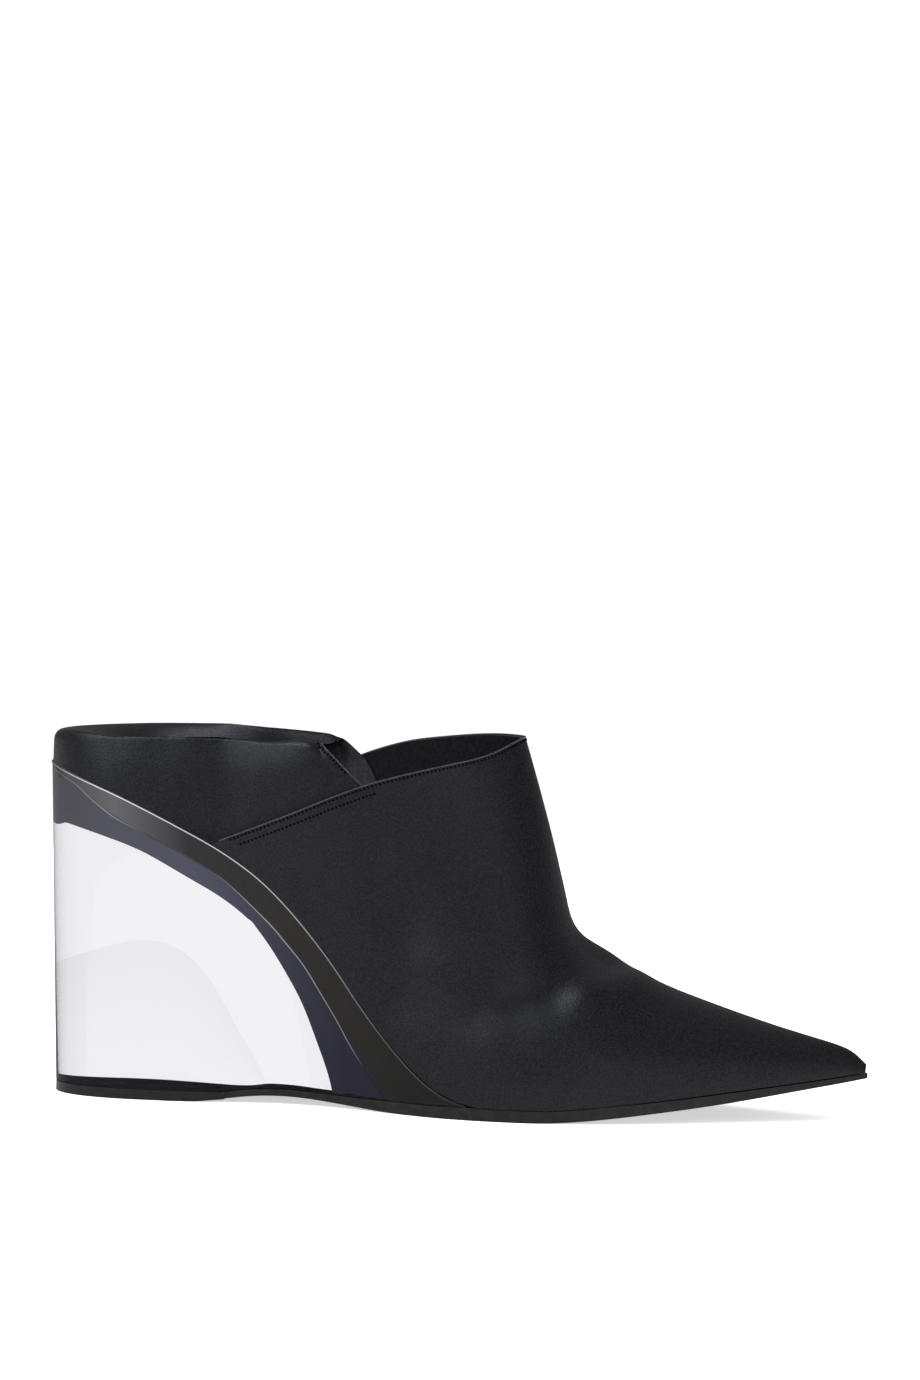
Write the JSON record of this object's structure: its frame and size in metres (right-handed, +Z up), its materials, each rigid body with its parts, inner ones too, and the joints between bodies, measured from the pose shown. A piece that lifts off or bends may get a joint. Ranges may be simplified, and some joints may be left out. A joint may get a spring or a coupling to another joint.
{
  "type": "clear heeled mule",
  "caption": "Pointed black satin mule on a tall solid clear wedge, with a trodden-down back quarter, a thin black sole and a rubber heel lift",
  "frame": {"origin": "middle of the bounding box, at floor level under the shoe", "axes": "+X toward the toe, +Y toward the inner side of the foot, +Z up"},
  "size_m": [0.2441, 0.0786, 0.1093],
  "materials": {
    "satin": "black satin with a fine soft sheen",
    "satin_back": "black satin with a fine soft sheen",
    "lining": "smooth black lining leather",
    "clear": "polished clear acrylic, see-through",
    "sole": "black sole with a polished edge",
    "lift": "black rubber, semi-matt"
  },
  "bodies": {
    "root": {"upper_vamp": "satin", "heel_quarter": "satin_back", "insole": "lining", "clear_wedge": "clear", "outsole": "sole", "heel_lift": "lift"}
  },
  "joints": []
}
